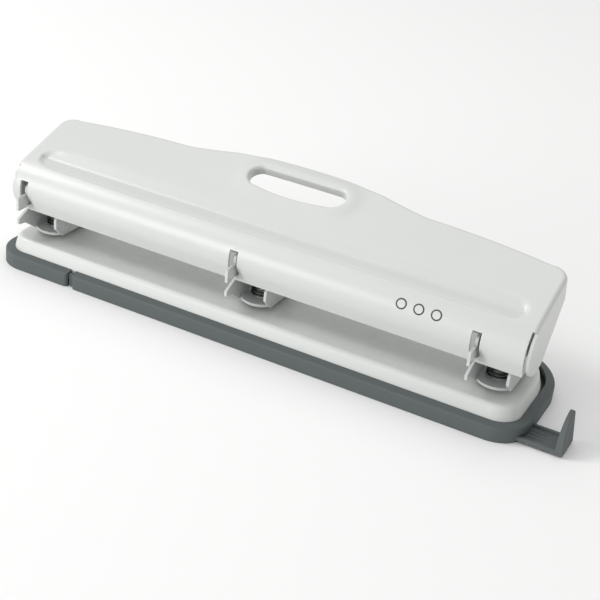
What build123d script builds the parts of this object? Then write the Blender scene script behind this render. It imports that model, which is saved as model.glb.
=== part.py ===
from build123d import *
import os
from math import acos, atan2, cos, degrees, hypot, radians, sin

# Three hole punch. Millimetres, +Z up, +X to the right along the punch, +Y from the paper
# mouth to the back. The origin is the centre of the base's footprint, on the table.

# ---- driving dimensions -------------------------------------------------------------------
HEAD_X = {"left": -108.0, "middle": 0.0, "right": 108.0}
SHEET = 1.2                       # painted steel sheet of base, brackets and lever

# footprint of the tray, and the pressed base that stands in it
TRAY_HALF_X = 127.0
TRAY_HALF_Y = 33.75
TRAY_FRONT_R = 14.0
TRAY_REAR_R = 28.0
TRAY_FLOOR = 1.4
TRAY_WALL = 1.6
TRAY_RIDGE_Z = 6.6                # outer edge of the rim's top face
TRAY_RIM_Z = 7.2                  # inner edge of the rim's top face
RIM_WIDTH = 3.95
BASE_INSET = 4.2                  # base wall from the tray's outer face
BASE_SKIRT_Z = 7.0
BASE_TOP_Z = 13.0
BASE_DRAFT = 16.0
BASE_FOLD_R = 2.4
BASE_REAR_R = 31.0                # back corners of the base, fuller than the tray's

# fold-down end of the tray
DOOR_X = -84.9                    # middle of the slit between the door and the tray
DOOR_GAP = 2.6
SLIT_CORNER_R = 1.8
TONGUE_Y = (30.7, 31.9)           # tray's tongues that back the slit at front and rear
TONGUE_X = DOOR_X - 0.9

# punch heads
PIN_Y = -10.5
PIN_R = 3.5
PIN_TIP_Z = 15.45
BRACKET_HALF_X = 8.0
BRACKET_FLOOR_Z = 15.0
BRACKET_REAR_Y = 15.2
PAPER_STOP_Y = 1.65
COLLAR_R = 4.1
COLLAR_TOP_Z = 17.4
CRESCENT_FRONT_Y = -21.1          # middle of the floor's front lip
RIVET_Y = 9.2
RIVET_X = 4.0
RIVET_R = 1.5
RIVET_HEAD_R = 2.7
RIVET_HEAD_Z = 1.0
RIVET_TAIL_Z = 0.8
DIE_BOSS_R = 5.2
DIE_FLANGE_R = 6.8
DIE_LOW_Z = 9.4
PIN_CLEAR = 0.06                  # running clearance round the pin, in the die and the collar

# lever: its front lip turns in the V notches of the brackets' left plates
FULCRUM = (-23.45, 26.9)
ROLL = (-13.25, 35.4)             # centre of the front roll, the press rod and the end flanges
ROLL_R = 13.0
ROD_R = 2.5
ROD_SLOT_R = ROD_R + 0.3
ROD_RING_R = ROD_SLOT_R + 1.35
SEAT_R = 0.66                     # running clearance round the lip's 0.6 mm rounded end
POCKET_R = 1.85                   # room for the lip's thickness above the seat
LEVER_HALF_X = 122.45             # outer faces of the end flanges
ROLL_HALF_X = 120.45              # the roll stops short of the flanges
ROD_HALF_X = 121.0
PANEL_ANGLE = 18.1
PRESS_ANGLE = 32.0
RETURN_DEPTH = 5.0                # folded lip behind the panel
RETURN_START_U = 25.0
BUSH_R = 5.0
BUSH_LENGTH = 4.4

# plan of the panel, in panel coordinates (x, u)
PANEL_CORNER_U = 27.0             # where the panel's side meets its rounded corner
CORNER_MIDDLE = (120.5, 31.4)
SHOULDER = (114.7, 33.2)
BULGE_FOOT = (58.0, 38.3)
BULGE_SIDE = (36.0, 43.4)
BULGE_TOP_U = 46.0

# end flanges: round front, and a sloping back edge given by a point on it and its angle
FLANGE_FRONT_R = 12.0
FLANGE_BACK = (4.9, 36.5)
FLANGE_ANGLE = 52.1
FLANGE_LOW_ANGLE = -78.0          # where the lower edge leaves the roll's circle
FLANGE_LOW_R = 6.0
FLANGE_END_U = PANEL_CORNER_U + 1.0

# hand slot and long pressed recess on the panel, in panel coordinates (x, u)
SLOT_HALF_X = 21.8
SLOT_LOW_U, SLOT_HIGH_U = 25.2, 37.2
SLOT_LIP = 4.5
RECESS_HALF_X = 116.0
RECESS_LOW_U, RECESS_CREASE_U, RECESS_HIGH_U = -2.9, 4.8, 11.4
RECESS_LOW_N = 12.4               # floor's height over the roll's centre at its lower edge
RECESS_DEPTH = 1.9                # at the crease

# openings in the front roll, over each left bracket plate
WINDOW_X = (-9.6, -5.6)
WINDOW_Z = (28.1, 40.1)

# paper guide
GUIDE_Y = (-28.0, -14.2)
GUIDE_Z = (0.8, 2.6)
GUIDE_EDGE = 1.4                  # raised edges along the bar
GUIDE_INNER_X = 75.0
GUIDE_STOP_X = (139.8, 143.2)
GUIDE_STOP_Z = 15.2
GUIDE_STOP_LEAN = 6.4
GUIDE_TUNNEL_X = 58.0
GUIDE_CLEAR = 0.2
TUNNEL_ROOF_Z = GUIDE_Z[1] + GUIDE_CLEAR
TUNNEL_WALL = 1.2
LEDGE = 0.9                       # lips under the guide's edges
LEDGE_TOP_Z = 0.6
GUIDE_CHANNEL_Z = 1.6             # floor of the bar's channel
GUIDE_GROOVE_Y = (-18.6, -21.0, -23.4)
GUIDE_GROOVE_X = (80.0, 134.0)
GUIDE_GROOVE = (0.8, 0.4)         # width and depth
GUIDE_SPRING_BOX = (104.0, 120.0, -23.6, -18.6)
SPRING_LEAF = 0.35

# return springs
WIRE_R = 0.4
SPRING_LOW_R = 4.8
SPRING_HIGH_R = 4.2
SPRING_TURNS = 6.0
CLIP_Z = (28.8, 29.6)
CLIP_R = 5.1
CLIP_MOUTH = 2.2
GROOVE_R = 3.0
PIN_TOP_Z = ROLL[1] - ROD_R - 0.08
PIN_HOLLOW_R = 5.0                # hollow grind of the cutting end
PIN_HOLLOW_DEPTH = 1.6

PANEL_SIN, PANEL_COS = sin(radians(PANEL_ANGLE)), cos(radians(PANEL_ANGLE))
SHEET_MID_R = ROLL_R - SHEET / 2


# ---- small helpers --------------------------------------------------------------------------
def polar(centre, radius, angle):
    """Point at a radius and an angle in degrees from a centre, in a plane."""
    return (centre[0] + radius * cos(radians(angle)), centre[1] + radius * sin(radians(angle)))


def polygon(points):
    return make_face(Polyline(*points, close=True))


def disc(centre, radius):
    return Pos(*centre) * Circle(radius)


def along_x(face, x0, x1):
    """Extrude a Y-Z profile from x0 to x1."""
    return extrude(Plane.YZ.offset(x0) * face, x1 - x0)


def up_z(face, z0, z1):
    return extrude(Pos(0, 0, z0) * face, z1 - z0)


def block(x, y, z):
    """Box between pairs of coordinates."""
    return Pos((x[0] + x[1]) / 2, (y[0] + y[1]) / 2, (z[0] + z[1]) / 2) * Box(
        x[1] - x[0], y[1] - y[0], z[1] - z[0])


def tube(centre, z0, z1, outer, inner=0.0):
    body = Pos(*centre, (z0 + z1) / 2) * Cylinder(outer, z1 - z0)
    if inner:
        body -= Pos(*centre, (z0 + z1) / 2) * Cylinder(inner, z1 - z0 + 2)
    return body


def arc_strip(centre, radius, start, end, thick):
    """Band of a ring between two angles, as a face."""
    outer, inner = radius + thick / 2, radius - thick / 2
    middle = (start + end) / 2
    far = ThreePointArc(*[polar(centre, outer, a) for a in (start, middle, end)])
    near = ThreePointArc(*[polar(centre, inner, a) for a in (end, middle, start)])
    return make_face([far, Line(far @ 1, near @ 0), near, Line(near @ 1, far @ 0)])


def line_strip(p0, p1, thick):
    """Straight band between two points, as a face."""
    length = hypot(p1[0] - p0[0], p1[1] - p0[1])
    across = ((p0[1] - p1[1]) / length * thick / 2, (p1[0] - p0[0]) / length * thick / 2)
    return polygon([
        (p0[0] + across[0], p0[1] + across[1]), (p1[0] + across[0], p1[1] + across[1]),
        (p1[0] - across[0], p1[1] - across[1]), (p0[0] - across[0], p0[1] - across[1])])


def footprint(inset, rear_r=TRAY_REAR_R):
    """Rounded plan outline, moved in by inset from the tray's outer face.

    rear_r is the back corners' radius before the outline is moved in.
    """
    x, y = TRAY_HALF_X - inset, TRAY_HALF_Y - inset
    rf, rr = TRAY_FRONT_R - inset, rear_r - inset
    k = 1 - cos(radians(45))
    edges = [
        Line((-x + rf, -y), (x - rf, -y)),
        ThreePointArc((x - rf, -y), (x - rf * k, -y + rf * k), (x, -y + rf)),
        Line((x, -y + rf), (x, y - rr)),
        ThreePointArc((x, y - rr), (x - rr * k, y - rr * k), (x - rr, y)),
        Line((x - rr, y), (-x + rr, y)),
        ThreePointArc((-x + rr, y), (-x + rr * k, y - rr * k), (-x, y - rr)),
        Line((-x, y - rr), (-x, -y + rf)),
        ThreePointArc((-x, -y + rf), (-x + rf * k, -y + rf * k), (-x + rf, -y)),
    ]
    return make_face(edges)


# ---- base --------------------------------------------------------------------------------------
def pan(inset, top_z):
    """Solid pan: upright skirt, then a drafted wall up to the flat top."""
    outline = footprint(inset, BASE_REAR_R + BASE_INSET)
    skirt = up_z(outline, TRAY_FLOOR, BASE_SKIRT_Z)
    crown = extrude(Pos(0, 0, BASE_SKIRT_Z) * outline, top_z - BASE_SKIRT_Z, taper=BASE_DRAFT)
    return skirt + crown


def base_plate():
    body = pan(BASE_INSET, BASE_TOP_Z)
    top_edges = body.edges().filter_by_position(Axis.Z, BASE_TOP_Z - 0.01, BASE_TOP_Z + 0.01)
    body = fillet(top_edges, BASE_FOLD_R)
    inside = pan(BASE_INSET + SHEET, BASE_TOP_Z - SHEET)
    inner_edges = inside.edges().filter_by_position(Axis.Z, BASE_TOP_Z - SHEET - 0.01, BASE_TOP_Z)
    body -= fillet(inner_edges, BASE_FOLD_R - SHEET)
    body -= block((-200, 200), (-100, 100), (TRAY_FLOOR - 2, TRAY_FLOOR))
    body -= along_x(tunnel_profile(TUNNEL_WALL + 0.3), GUIDE_TUNNEL_X - TUNNEL_WALL - 0.3, TRAY_HALF_X)
    for x in HEAD_X.values():
        body -= tube((x, PIN_Y), 10, 15, DIE_BOSS_R)
        for dx in (-RIVET_X, RIVET_X):
            body -= tube((x + dx, RIVET_Y), 10, 15, RIVET_R)
    return body


def die(x):
    """Hardened bush that the pin shears into; flush with the base's top."""
    below = tube((x, PIN_Y), DIE_LOW_Z, BASE_TOP_Z - SHEET, DIE_FLANGE_R)
    boss = tube((x, PIN_Y), BASE_TOP_Z - SHEET, BASE_TOP_Z, DIE_BOSS_R)
    return below + boss - tube((x, PIN_Y), DIE_LOW_Z - 1, BASE_TOP_Z + 1, PIN_R + PIN_CLEAR)


def rivets():
    """Two rivets behind each head, holding the bracket's foot to the base."""
    foot_top = BASE_TOP_Z + SHEET
    under = BASE_TOP_Z - SHEET
    solids = []
    for x in HEAD_X.values():
        for dx in (-RIVET_X, RIVET_X):
            shank = tube((x + dx, RIVET_Y), under, foot_top, RIVET_R)
            head = tube((x + dx, RIVET_Y), foot_top, foot_top + RIVET_HEAD_Z, RIVET_HEAD_R)
            head = fillet(head.edges().group_by(Axis.Z)[-1], 0.8 * RIVET_HEAD_Z)
            tail = tube((x + dx, RIVET_Y), under - RIVET_TAIL_Z, under, RIVET_HEAD_R - 0.4)
            solids.append(shank + head + tail)
    return Compound(children=solids)


# ---- chip tray -----------------------------------------------------------------------------------
def whole_tray():
    """Tray floor, outer wall and the broad rim that closes against the base."""
    body = up_z(footprint(0), 0, TRAY_RIDGE_Z)
    body = fillet(body.edges().filter_by_position(Axis.Z, TRAY_RIDGE_Z - 0.01, TRAY_RIDGE_Z + 0.01), 1.2)
    slope = degrees(atan2(RIM_WIDTH - 1.2, TRAY_RIM_Z - TRAY_RIDGE_Z))
    body += extrude(Pos(0, 0, TRAY_RIDGE_Z) * footprint(1.2), TRAY_RIM_Z - TRAY_RIDGE_Z, taper=slope)
    body -= up_z(footprint(TRAY_WALL), TRAY_FLOOR, TRAY_RIDGE_Z - 1.2)
    body -= up_z(footprint(RIM_WIDTH), TRAY_FLOOR, TRAY_RIM_Z + 2)
    return body


def tunnel_profile(grow):
    """Section of the guide's tunnel across Y-Z, grown outwards by a wall."""
    y0, y1 = GUIDE_Y[0] - GUIDE_CLEAR - grow, GUIDE_Y[1] + GUIDE_CLEAR + grow
    return polygon([(y0, -1), (y1, -1), (y1, TUNNEL_ROOF_Z + grow), (y0, TUNNEL_ROOF_Z + grow)])


def slit_side(x0, x1):
    """Block between two x, as wide as the tray, with small rounded corners in plan."""
    plan = Pos((x0 + x1) / 2, 0) * RectangleRounded(x1 - x0, 2 * TRAY_HALF_Y, SLIT_CORNER_R)
    return up_z(plan, -1, TRAY_RIM_Z + 1)


def chip_tray():
    x0, x1 = DOOR_X + DOOR_GAP / 2, TRAY_HALF_X + 10
    body = whole_tray() & slit_side(x0, x1)
    for y0, y1 in (TONGUE_Y, (-TONGUE_Y[1], -TONGUE_Y[0])):
        body += block((TONGUE_X, x0 + 2), (y0, y1), (0.3, TRAY_RIDGE_Z - 0.4))
    inside = up_z(footprint(TRAY_WALL / 2), 0, BASE_TOP_Z)
    body += along_x(tunnel_profile(TUNNEL_WALL), GUIDE_TUNNEL_X - TUNNEL_WALL, TRAY_HALF_X) & inside
    body -= along_x(tunnel_profile(0), GUIDE_TUNNEL_X, TRAY_HALF_X + 1)
    for y0, y1 in ((GUIDE_Y[0] - 1, GUIDE_Y[0] + LEDGE), (GUIDE_Y[1] - LEDGE, GUIDE_Y[1] + 1)):
        ledge = block((GUIDE_TUNNEL_X - 0.5, TRAY_HALF_X), (y0, y1), (0, LEDGE_TOP_Z))
        body += ledge & up_z(footprint(0), 0, 1)
    return body


def tray_door():
    """Left end of the tray, folding down about its thin floor to drop the chips."""
    return whole_tray() & slit_side(-TRAY_HALF_X - 10, DOOR_X - DOOR_GAP / 2)


# ---- paper guide ------------------------------------------------------------------------------------
def guide_stop():
    """Upright stop for the paper's side: full curved front edge, outer face leaning inwards."""
    y0, y1 = GUIDE_Y
    top = GUIDE_STOP_Z
    profile = make_face([
        Line((y0, GUIDE_Z[0]), (y1, GUIDE_Z[0])),
        Line((y1, GUIDE_Z[0]), (y1, top - 2.2)),
        ThreePointArc((y1, top - 2.2), (y1 - 0.65, top - 0.65), (y1 - 2.2, top)),
        ThreePointArc((y1 - 2.2, top), (y0 + 2.9, top - 4.4), (y0, GUIDE_Z[1] + 0.4)),
        Line((y0, GUIDE_Z[1] + 0.4), (y0, GUIDE_Z[0])),
    ])
    stop = along_x(profile, *GUIDE_STOP_X)
    outside = Pos(5, 0, 10) * Box(10, 60, 40)
    return stop - Pos(GUIDE_STOP_X[1], (y0 + y1) / 2, GUIDE_Z[0]) * Rot(0, -GUIDE_STOP_LEAN, 0) * outside


def paper_guide():
    """Flat sliding bar with raised edges, three shallow grooves and the upright stop."""
    y0, y1 = GUIDE_Y
    z0, z1 = GUIDE_Z
    bar = block((GUIDE_INNER_X, GUIDE_STOP_X[0]), (y0, y1), (z0, z1))
    channel_y = (y0 + GUIDE_EDGE, y1 - GUIDE_EDGE)
    bar -= block((GUIDE_INNER_X - 1, GUIDE_STOP_X[0]), channel_y, (GUIDE_CHANNEL_Z, z1 + 1))
    width, depth = GUIDE_GROOVE
    for y in GUIDE_GROOVE_Y:
        groove_y = (y - width / 2, y + width / 2)
        bar -= block(GUIDE_GROOVE_X, groove_y, (GUIDE_CHANNEL_Z - depth, z1))
    return bar + guide_stop()


def guide_spring():
    """Small leaf spring that gives the guide its drag, bowed down from the tunnel roof."""
    x0, x1, y0, y1 = GUIDE_SPRING_BOX
    top, thick = TUNNEL_ROOF_Z, SPRING_LEAF
    bow = top - thick - GUIDE_CHANNEL_Z - 0.08
    mid = (x0 + x1) / 2
    leaf = make_face([
        Line((x0, top - thick), (x0, top)),
        ThreePointArc((x0, top), (mid, top - bow), (x1, top)),
        Line((x1, top), (x1, top - thick)),
        ThreePointArc((x1, top - thick), (mid, top - thick - bow), (x0, top - thick)),
    ])
    return extrude(Plane.XZ.offset(-y1) * leaf, y1 - y0)


# ---- punch heads ---------------------------------------------------------------------------------------
def rod_path():
    """Radius and angles of the press rod's arc about the fulcrum."""
    dy, dz = ROLL[0] - FULCRUM[0], ROLL[1] - FULCRUM[1]
    start = degrees(atan2(dz, dy))
    return hypot(dy, dz), start, start - PRESS_ANGLE


def rod_slot(radius):
    """Curved slot that the rod travels in, as a face, with a given half-width."""
    reach, start, end = rod_path()
    face = arc_strip(FULCRUM, reach, end, start, 2 * radius)
    return face + disc(polar(FULCRUM, reach, start), radius) + disc(polar(FULCRUM, reach, end), radius)


def plate_back():
    """Outline shared by both side plates, behind the lever's lip."""
    floor, rear = BRACKET_FLOOR_Z, BRACKET_REAR_Y
    return [
        (PAPER_STOP_Y, floor), (PAPER_STOP_Y + 1.4, BASE_TOP_Z), (rear, BASE_TOP_Z),
        (rear, BASE_TOP_Z + 3.5), (2.5, 24.0), (-5.2, 27.5), (-6.2, 33.0), (-9.9, 38.0)]


def right_plate_face():
    front = [
        (-16.6, 37.6), (-19.6, 35.0), (-20.9, 33.0), (-21.2, 27.4), (-22.3, 25.2),
        (-23.05, 24.4), (-23.05, 20.1), (-17.85, BRACKET_FLOOR_Z)]
    return polygon(plate_back() + front) + rod_slot(ROD_RING_R) - rod_slot(ROD_SLOT_R)


def left_plate_face():
    """Side plate with the ear that hooks over the lip, the V notch and the toe below it."""
    front = [
        (-16.8, 37.6), (-22.4, 37.9), (-24.3, 37.0), (-24.8, 35.2), (-24.5, 33.6), (-30.75, 33.6),
        (-30.75, 27.4), (-24.6, 27.4), (-24.6, 25.9), (-30.45, 23.1), (-30.25, 20.7), (-25.8, 20.1),
        (-18.6, BRACKET_FLOOR_Z)]
    face = polygon(plate_back() + front) + rod_slot(ROD_RING_R) - rod_slot(ROD_SLOT_R)
    face -= disc(FULCRUM, SEAT_R)
    pocket = [FULCRUM] + [polar(FULCRUM, POCKET_R, a) for a in (3, 30, 60, 90, 120, 150, 168)]
    mouth = [FULCRUM, (-24.6, 27.4), (-25.4, 27.4), (-25.4, 25.6), (-24.0, 26.36)]
    return face - polygon(pocket) - polygon(mouth)


def bracket(x):
    """Folded head bracket: two side plates, floor with crescent lip, and riveted foot."""
    half, sheet, floor = BRACKET_HALF_X, SHEET, BRACKET_FLOOR_Z
    left = along_x(left_plate_face(), x - half, x - half + sheet)
    right = along_x(right_plate_face(), x + half - sheet, x + half)
    foot_profile = polygon([
        (-17.85, floor), (PAPER_STOP_Y, floor), (PAPER_STOP_Y + 1.4, BASE_TOP_Z),
        (BRACKET_REAR_Y, BASE_TOP_Z), (BRACKET_REAR_Y, BASE_TOP_Z + sheet),
        (PAPER_STOP_Y + 2.2, BASE_TOP_Z + sheet), (PAPER_STOP_Y + 0.8, floor + sheet),
        (-17.85, floor + sheet)])
    body = left + right + along_x(foot_profile, x - half + sheet, x + half - sheet)
    lip_face = make_face([
        Line((x - half + sheet, -17.85), (x + half - sheet, -17.85)),
        ThreePointArc((x + half - sheet, -17.85), (x - 0.6, CRESCENT_FRONT_Y), (x - half + sheet, -17.85))])
    body += up_z(lip_face, floor, floor + sheet)
    body += tube((x, PIN_Y), floor, COLLAR_TOP_Z, COLLAR_R)
    body -= tube((x, PIN_Y), floor - 1, COLLAR_TOP_Z + 1, PIN_R + PIN_CLEAR)
    for dx in (-RIVET_X, RIVET_X):
        body -= tube((x + dx, RIVET_Y), BASE_TOP_Z - 1, BASE_TOP_Z + 2, RIVET_R)
    return body


def punch_pin(x):
    """Hollow-ground punch pin with a flat head for the press rod and a clip groove."""
    body = tube((x, PIN_Y), PIN_TIP_Z, PIN_TOP_Z, PIN_R)
    body = chamfer(body.edges().group_by(Axis.Z)[-1], 0.4)
    body -= tube((x, PIN_Y), CLIP_Z[0], CLIP_Z[1], PIN_R + 1, GROOVE_R)
    hollow_z = PIN_TIP_Z + PIN_HOLLOW_DEPTH - PIN_HOLLOW_R
    body -= Pos(x, PIN_Y, hollow_z) * Rot(0, 90, 0) * Cylinder(PIN_HOLLOW_R, 20)
    return body


def spring_clip(x):
    """Snap ring in the pin's groove, which the spring pushes up on."""
    ring = tube((x, PIN_Y), CLIP_Z[0], CLIP_Z[1], CLIP_R, GROOVE_R)
    mouth_x = (x - CLIP_MOUTH, x + CLIP_MOUTH)
    return ring - block(mouth_x, (PIN_Y, PIN_Y + 8), (CLIP_Z[0] - 1, CLIP_Z[1] + 1))


def pin_spring(x):
    """Slightly conical coil spring from the bracket's floor to the clip."""
    low = BRACKET_FLOOR_Z + SHEET + WIRE_R + 0.05
    high = CLIP_Z[0] - WIRE_R - 0.05
    height = high - low
    cone = degrees(atan2(SPRING_LOW_R - SPRING_HIGH_R, height))
    path = Helix(height / SPRING_TURNS, height, SPRING_LOW_R, cone_angle=-cone)
    section = Plane(origin=path @ 0, z_dir=path % 0) * Circle(WIRE_R)
    return Pos(x, PIN_Y, low) * sweep(section, path=path)


# ---- lever ------------------------------------------------------------------------------------------------
def panel_plane():
    """Plane through the roll's centre: local x along the lever, y up the panel, z out of it."""
    return Plane(origin=(0, *ROLL), x_dir=(1, 0, 0), z_dir=(0, -PANEL_SIN, PANEL_COS))


def section_plane(x):
    """Section across the lever: local x up the panel, y out of it, z along the lever."""
    return Plane(origin=(x, *ROLL), x_dir=(0, PANEL_COS, PANEL_SIN), z_dir=(1, 0, 0))


def lip_tangent_angle():
    """Angle on the roll where the straight lip leaves it for the fulcrum."""
    dy, dz = FULCRUM[0] - ROLL[0], FULCRUM[1] - ROLL[1]
    return 360 + degrees(atan2(dz, dy)) - degrees(acos(SHEET_MID_R / hypot(dy, dz)))


def roll_skin():
    tangent = lip_tangent_angle()
    lip_start = polar(ROLL, SHEET_MID_R, tangent)
    face = arc_strip(ROLL, SHEET_MID_R, 90 + PANEL_ANGLE, tangent, SHEET)
    face += line_strip(lip_start, FULCRUM, SHEET) + disc(FULCRUM, SHEET / 2)
    return along_x(face, -ROLL_HALF_X, ROLL_HALF_X)


def panel_face():
    """Plan of the flat panel: rounded corners, long shoulders and the raised middle."""
    w = LEVER_HALF_X
    right = [
        Line((w, -0.4), (w, PANEL_CORNER_U)),
        ThreePointArc((w, PANEL_CORNER_U), CORNER_MIDDLE, SHOULDER),
        ThreePointArc(SHOULDER, (87.0, 36.7), BULGE_FOOT),
        ThreePointArc(BULGE_FOOT, (47.6, 40.4), BULGE_SIDE),
        ThreePointArc(BULGE_SIDE, (18.4, 45.35), (0, BULGE_TOP_U)),
    ]
    left = [mirror(edge, about=Plane.YZ) for edge in right]
    return make_face(right + left + [Line((-w, -0.4), (w, -0.4))])


def pill(half_x, low_u, high_u):
    """Long face with half-round ends, in panel coordinates."""
    r = (high_u - low_u) / 2
    return Pos(0, (low_u + high_u) / 2) * SlotOverall(2 * half_x, 2 * r)


def on_panel(face, n0, n1):
    """Extrude a panel-coordinate face between two heights over the roll's centre."""
    return extrude(panel_plane().offset(n0) * face, n1 - n0)


def recess(grow):
    """Long pressed recess: a floor sinking to the crease, then a wall up to the panel."""
    above = ROLL_R + 3 - grow
    section = polygon([
        (RECESS_LOW_U - grow, above), (RECESS_LOW_U - grow, RECESS_LOW_N - grow),
        (RECESS_CREASE_U, ROLL_R - RECESS_DEPTH - grow), (RECESS_HIGH_U + grow, ROLL_R + 0.1 - grow),
        (RECESS_HIGH_U + grow, above)])
    bar = extrude(section_plane(-RECESS_HALF_X - grow) * section, 2 * (RECESS_HALF_X + grow))
    ends = on_panel(pill(RECESS_HALF_X + grow, RECESS_LOW_U - grow, RECESS_HIGH_U + grow), 5, 15)
    return bar & ends


def meet(p, p_angle, q, q_angle):
    """Point where two lines cross, each given by a point and an angle in degrees."""
    a, b = radians(p_angle), radians(q_angle)
    dy, dz = q[0] - p[0], q[1] - p[1]
    reach = (dy * sin(b) - dz * cos(b)) / sin(b - a)
    return (p[0] + reach * cos(a), p[1] + reach * sin(a))


def lever_end_face():
    """Profile of the end flanges: roll circle, lower edge, sloping back edge and panel line."""
    low = polar(ROLL, ROLL_R, FLANGE_LOW_ANGLE)
    top = polar(ROLL, ROLL_R, 90 + PANEL_ANGLE)
    heel = meet(low, FLANGE_LOW_ANGLE + 90, FLANGE_BACK, FLANGE_ANGLE)
    apex = meet(top, PANEL_ANGLE, FLANGE_BACK, FLANGE_ANGLE)
    blade = polygon([ROLL, low, heel, apex, top])
    blade = fillet(blade.vertices().sort_by_distance((*heel, 0))[0], FLANGE_LOW_R)
    # the blade stops where the panel's plan starts to round its corner
    before_corner = Rot(0, 0, PANEL_ANGLE) * Rectangle(100, 100)
    before_corner = Pos(*polar(ROLL, FLANGE_END_U - 50, PANEL_ANGLE)) * before_corner
    return (blade & before_corner) + disc(ROLL, FLANGE_FRONT_R)


def handle():
    """Pressed steel lever: front roll, panel with return lip, end flanges, slot and recess."""
    outer, inner = ROLL_R, ROLL_R - SHEET
    plan = panel_face()
    body = roll_skin() + on_panel(plan, inner, outer)
    inside = on_panel(offset(plan, -SHEET), outer - RETURN_DEPTH - 1, outer + 1)
    return_lip = on_panel(plan, outer - RETURN_DEPTH, outer) - inside
    rear_half = on_panel(Pos(0, RETURN_START_U + 50) * Rectangle(400, 100), 0, 20)
    body += return_lip & rear_half
    for x0 in (-LEVER_HALF_X, LEVER_HALF_X - SHEET):
        body += along_x(lever_end_face(), x0, x0 + SHEET)
    body += recess(SHEET)
    body -= recess(0)
    hand = pill(SLOT_HALF_X, SLOT_LOW_U, SLOT_HIGH_U)
    body += on_panel(offset(hand, SHEET), outer - SLOT_LIP, outer)
    body -= on_panel(hand, outer - SLOT_LIP - 5, outer + 5)
    for x in HEAD_X.values():
        body -= block((x + WINDOW_X[0], x + WINDOW_X[1]), (-40, -20), WINDOW_Z)
    return body


def press_rod():
    """Steel rod along the roll's centre; it bears on all three pins."""
    return along_x(disc(ROLL, ROD_R), -ROD_HALF_X, ROD_HALF_X)


def rod_bush(side):
    """Bush on the rod's end, fixed to the inner face of the end flange."""
    outer = LEVER_HALF_X - SHEET
    bush = along_x(disc(ROLL, BUSH_R) - disc(ROLL, ROD_R), outer - BUSH_LENGTH, outer)
    return bush if side == "right" else mirror(bush, about=Plane.YZ)


# ---- write the parts ----------------------------------------------------------------------------------
parts = {
    "base_plate": base_plate(),
    "bracket_rivets": rivets(),
    "chip_tray": chip_tray(),
    "tray_door": tray_door(),
    "paper_guide": paper_guide(),
    "guide_spring": guide_spring(),
    "handle": handle(),
    "press_rod": press_rod(),
    "rod_bush_left": rod_bush("left"),
    "rod_bush_right": rod_bush("right"),
}
for name, head_x in HEAD_X.items():
    parts["bracket_" + name] = bracket(head_x)
    parts["die_" + name] = die(head_x)
    parts["punch_pin_" + name] = punch_pin(head_x)
    parts["pin_spring_" + name] = pin_spring(head_x)
    parts["spring_clip_" + name] = spring_clip(head_x)

os.makedirs("parts", exist_ok=True)
for name, solid in parts.items():
    export_step(solid, "parts/" + name + ".step")
    box = solid.bounding_box()
    print(f"{name:22s} {box.min.X:8.2f} {box.min.Y:8.2f} {box.min.Z:8.2f}   "
          f"{box.max.X:8.2f} {box.max.Y:8.2f} {box.max.Z:8.2f}")
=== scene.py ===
"""Looks of a three hole punch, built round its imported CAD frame.

The lever's pressed skin, the coil springs and the small printed mark are new meshes
worked out with numpy. The other pieces are the CAD nodes, or bevelled copies of them.
Lengths in the classes are millimetres; meshes are written in metres.
"""

import logging
import math
from dataclasses import dataclass
from enum import Enum

import bmesh
import bpy
import numpy as np
from mathutils import Matrix, Vector


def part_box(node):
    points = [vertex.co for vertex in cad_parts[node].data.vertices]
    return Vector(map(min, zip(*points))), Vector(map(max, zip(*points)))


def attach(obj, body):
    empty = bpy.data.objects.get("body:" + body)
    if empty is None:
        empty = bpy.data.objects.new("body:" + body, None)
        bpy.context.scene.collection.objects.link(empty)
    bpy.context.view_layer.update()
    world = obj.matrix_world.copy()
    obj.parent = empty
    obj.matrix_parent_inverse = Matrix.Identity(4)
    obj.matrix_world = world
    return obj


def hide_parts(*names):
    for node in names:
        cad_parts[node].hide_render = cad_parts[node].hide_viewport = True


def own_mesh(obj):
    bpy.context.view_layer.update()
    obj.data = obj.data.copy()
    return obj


MM = 0.001
LOG = logging.getLogger("three_hole_punch")


class Body(Enum):
    """The CAD bodies that pieces ride on."""

    BASE = "base"
    LEVER = "lever"
    GUIDE = "guide"
    DOOR = "door"


class Head(Enum):
    """The three punch heads, named as the CAD nodes name them."""

    LEFT = "left"
    MIDDLE = "middle"
    RIGHT = "right"


# ---- mesh helpers ----------------------------------------------------------------------------
def arc_through(start: np.ndarray, middle: np.ndarray, end: np.ndarray, count: int) -> np.ndarray:
    """Points on the circle through three points of a plane.

    The centre is where the perpendicular bisectors of start-middle and middle-end meet; the
    points are centre + radius (cos a, sin a) with a going evenly from start to end past middle.

    Args:
        start: First point, (2,).
        middle: A point between, (2,).
        end: Last point, (2,).
        count: How many points.

    Returns:
        Array (count, 2) from start to end.
    """
    a, b, c = (np.asarray(p, float) for p in (start, middle, end))
    rows = np.array([b - a, c - b])
    centre = np.linalg.solve(rows, np.array([(b @ b - a @ a) / 2, (c @ c - b @ b) / 2]))
    radius = np.linalg.norm(a - centre)
    angles = np.unwrap([math.atan2(*(p - centre)[::-1]) for p in (a, b, c)])
    along = np.linspace(angles[0], angles[2], count)
    return centre + radius * np.stack([np.cos(along), np.sin(along)], 1)


def resample(line: np.ndarray, fractions: np.ndarray) -> np.ndarray:
    """Points at fractions of a polyline's length.

    Args:
        line: Points (n, 2).
        fractions: Values from 0 to 1.

    Returns:
        Array (len(fractions), 2).
    """
    steps = np.concatenate([[0.0], np.cumsum(np.linalg.norm(np.diff(line, axis=0), axis=1))])
    wanted = np.asarray(fractions) * steps[-1]
    return np.stack([np.interp(wanted, steps, line[:, k]) for k in range(line.shape[1])], 1)


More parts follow.
